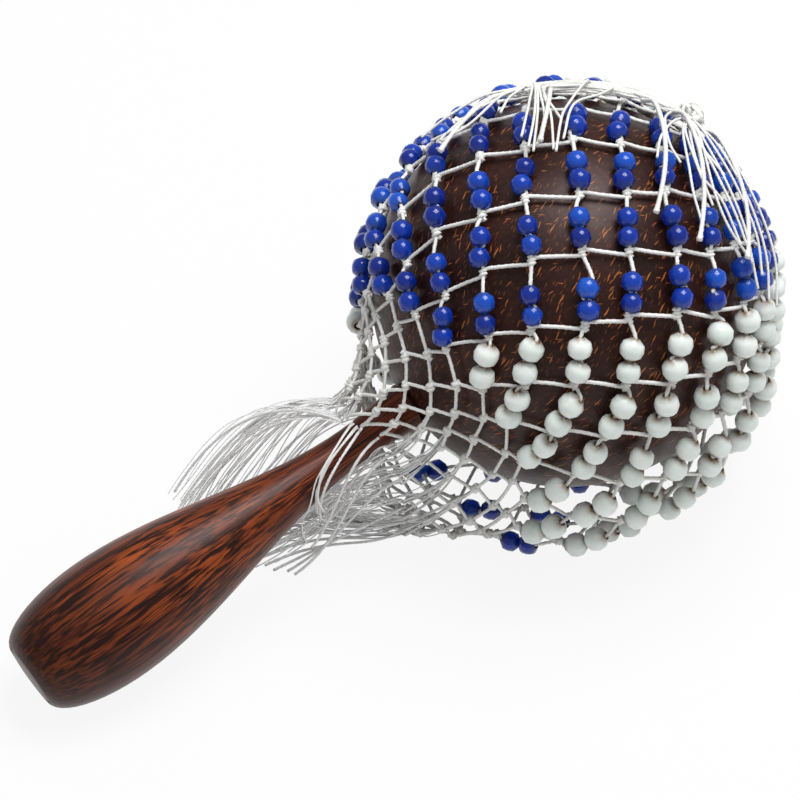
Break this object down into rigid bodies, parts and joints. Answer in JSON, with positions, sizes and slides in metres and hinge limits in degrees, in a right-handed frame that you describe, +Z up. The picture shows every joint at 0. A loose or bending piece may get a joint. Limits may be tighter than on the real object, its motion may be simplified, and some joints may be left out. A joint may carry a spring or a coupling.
{
  "type": "coconut shekere",
  "caption": "Hollow coconut on a turned wooden handle, in a loose knotted net of cords strung with blue and white beads that strike the shell when it is shaken or turned.",
  "frame": {"origin": "on the floor, under the middle of the whole instrument as it lies on its side", "axes": "+X from the handle towards the coconut, +Z up, +Y away from the pictured side"},
  "size_m": [0.2394, 0.124, 0.1253],
  "materials": {
    "shell": "polished dark coconut shell with short tan fibre flecks",
    "handle": "lacquered red-brown palm wood with dark streaks along the handle",
    "blue_beads": "glossy translucent cobalt blue",
    "white_beads": "glossy milky white",
    "cord": "twisted off-white twine"
  },
  "bodies": {
    "shell_and_handle": {"coconut_shell": "shell", "handle": "handle"},
    "bead_net": {"crown_drawcord": "cord", "crown_knot": "cord", "crown_skein": "cord", "crown_tail_01": "cord", "crown_tail_02": "cord", "crown_tail_03": "cord", "crown_tail_04": "cord", "crown_tail_05": "cord", "beaded_cord_01": "white_beads", "beaded_cord_02": "white_beads", "beaded_cord_03": "white_beads", "beaded_cord_04": "blue_beads", "beaded_cord_05": "blue_beads", "beaded_cord_06": "blue_beads", "beaded_cord_07": "white_beads", "beaded_cord_08": "white_beads", "beaded_cord_09": "white_beads", "beaded_cord_10": "white_beads", "beaded_cord_11": "white_beads", "beaded_cord_12": "blue_beads", "beaded_cord_13": "blue_beads", "beaded_cord_14": "blue_beads", "beaded_cord_15": "blue_beads", "beaded_cord_16": "blue_beads", "cross_cord_01": "cord", "cross_cord_02": "cord", "cross_cord_03": "cord", "cross_cord_04": "cord", "cross_cord_05": "cord", "cross_cord_06": "cord", "cross_cord_07": "cord", "cross_cord_08": "cord", "cross_cord_09": "cord", "cross_cord_10": "cord", "cross_cord_11": "cord", "cross_cord_12": "cord", "cross_cord_13": "cord", "cross_cord_14": "cord", "cross_cord_15": "cord", "cross_cord_16": "cord", "fringe_01": "cord", "fringe_02": "cord", "fringe_03": "cord", "fringe_04": "cord", "fringe_05": "cord", "fringe_06": "cord", "fringe_07": "cord", "fringe_08": "cord", "fringe_09": "cord", "fringe_10": "cord", "fringe_11": "cord", "fringe_12": "cord", "fringe_13": "cord", "fringe_14": "cord", "fringe_15": "cord", "fringe_16": "cord"}
  },
  "joints": [
    {"name": "net_turn", "type": "hinge", "parent": "shell_and_handle", "child": "bead_net", "pos_m": [0.05879, 0.00003, 0.062], "axis": [0.9626, 0, 0.2708], "continuous": true}
  ]
}
